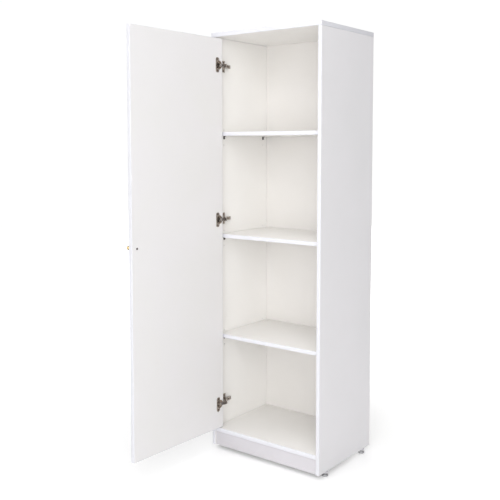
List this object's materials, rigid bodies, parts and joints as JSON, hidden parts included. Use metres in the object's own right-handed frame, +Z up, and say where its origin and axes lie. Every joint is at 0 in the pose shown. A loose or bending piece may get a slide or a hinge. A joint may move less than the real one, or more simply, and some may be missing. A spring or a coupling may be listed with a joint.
{
  "type": "locker cabinet",
  "caption": "Tall white board locker cabinet with an inset door on concealed hinges, adjustable shelves on pin supports, a recessed plinth and levelling feet.",
  "frame": {"origin": "bottom centre of the whole object with its door resting open, at floor level under the feet", "axes": "+Z up, -Y out of the cabinet front, +X towards the side without hinges"},
  "size_m": [0.5792, 0.9062, 1.8],
  "materials": {
    "carcass_board": "white melamine facing, satin, with white edge banding",
    "door_board": "white melamine facing, satin, with white edge banding",
    "shelf_board": "white melamine facing, satin, with white edge banding",
    "plinth_board": "white melamine facing, satin",
    "back_board": "thin fibreboard with a white lacquered face",
    "nickel": "nickel-plated pressed steel",
    "bright_steel": "bright zinc-plated steel",
    "dark_nickel": "dark nickel plating",
    "foot_steel": "zinc-plated turned steel",
    "collar_plastic": "pale grey moulded plastic",
    "stop_plastic": "dark soft plastic",
    "knob_brass": "satin brass",
    "dark_bronze": "dark bronzed steel"
  },
  "bodies": {
    "carcass": {"side_left": "carcass_board", "side_right": "carcass_board", "top_panel": "carcass_board", "bottom_panel": "carcass_board", "back_panel": "back_board", "plinth_front": "plinth_board", "rear_rail": "carcass_board", "shelf_upper": "shelf_board", "shelf_middle": "shelf_board", "shelf_lower": "shelf_board", "support_upper_front_left": "dark_nickel", "support_upper_front_right": "dark_nickel", "support_upper_rear_left": "dark_nickel", "support_upper_rear_right": "dark_nickel", "support_middle_front_left": "dark_nickel", "support_middle_front_right": "dark_nickel", "support_middle_rear_left": "dark_nickel", "support_middle_rear_right": "dark_nickel", "support_lower_front_left": "dark_nickel", "support_lower_front_right": "dark_nickel", "support_lower_rear_left": "dark_nickel", "support_lower_rear_right": "dark_nickel", "foot_socket_front_left": "collar_plastic", "foot_socket_front_right": "collar_plastic", "foot_socket_rear_left": "collar_plastic", "foot_socket_rear_right": "collar_plastic", "door_stop": "stop_plastic", "hinge_top_arm": "nickel", "hinge_top_plate": "nickel", "hinge_top_arm_screw": "bright_steel", "hinge_top_outer_pin": "bright_steel", "hinge_top_inner_pin": "bright_steel", "hinge_middle_arm": "nickel", "hinge_middle_plate": "nickel", "hinge_middle_arm_screw": "bright_steel", "hinge_middle_outer_pin": "bright_steel", "hinge_middle_inner_pin": "bright_steel", "hinge_bottom_arm": "nickel", "hinge_bottom_plate": "nickel", "hinge_bottom_arm_screw": "bright_steel", "hinge_bottom_outer_pin": "bright_steel", "hinge_bottom_inner_pin": "bright_steel"},
    "door": {"door_panel": "door_board", "door_knob": "knob_brass", "knob_screw": "dark_bronze", "hinge_top_cup": "nickel", "hinge_middle_cup": "nickel", "hinge_bottom_cup": "nickel"},
    "outer_links": {"hinge_top_outer_link": "bright_steel", "hinge_middle_outer_link": "bright_steel", "hinge_bottom_outer_link": "bright_steel"},
    "inner_links": {"hinge_top_inner_link": "bright_steel", "hinge_middle_inner_link": "bright_steel", "hinge_bottom_inner_link": "bright_steel"},
    "foot_front_left": {"levelling_foot_front_left": "foot_steel"},
    "foot_front_right": {"levelling_foot_front_right": "foot_steel"},
    "foot_rear_left": {"levelling_foot_rear_left": "foot_steel"},
    "foot_rear_right": {"levelling_foot_rear_right": "foot_steel"}
  },
  "joints": [
    {"name": "door_hinge", "type": "hinge", "parent": "carcass", "child": "door", "pos_m": [-0.23637, 0.0491, 0], "axis": [0, 0, 1], "range_deg": [-15.2, 91.8]},
    {"name": "outer_links_hinge", "type": "hinge", "parent": "carcass", "child": "outer_links", "pos_m": [-0.21637, 0.0621, 0], "axis": [0, 0, 1], "range_deg": [-45.9, 7.6]},
    {"name": "inner_links_hinge", "type": "hinge", "parent": "carcass", "child": "inner_links", "pos_m": [-0.21437, 0.0701, 0], "axis": [0, 0, 1], "range_deg": [-32.13, 5.32]},
    {"name": "foot_screw_front_left", "type": "slide", "parent": "carcass", "child": "foot_front_left", "axis": [0, 0, -1], "range_m": [0, 0.012]},
    {"name": "foot_screw_front_right", "type": "slide", "parent": "carcass", "child": "foot_front_right", "axis": [0, 0, -1], "range_m": [0, 0.012]},
    {"name": "foot_screw_rear_left", "type": "slide", "parent": "carcass", "child": "foot_rear_left", "axis": [0, 0, -1], "range_m": [0, 0.012]},
    {"name": "foot_screw_rear_right", "type": "slide", "parent": "carcass", "child": "foot_rear_right", "axis": [0, 0, -1], "range_m": [0, 0.012]}
  ],
  "couplings": [
    {"joint": "outer_links_hinge", "follows": "door_hinge", "ratio": -0.5},
    {"joint": "inner_links_hinge", "follows": "door_hinge", "ratio": -0.35}
  ]
}
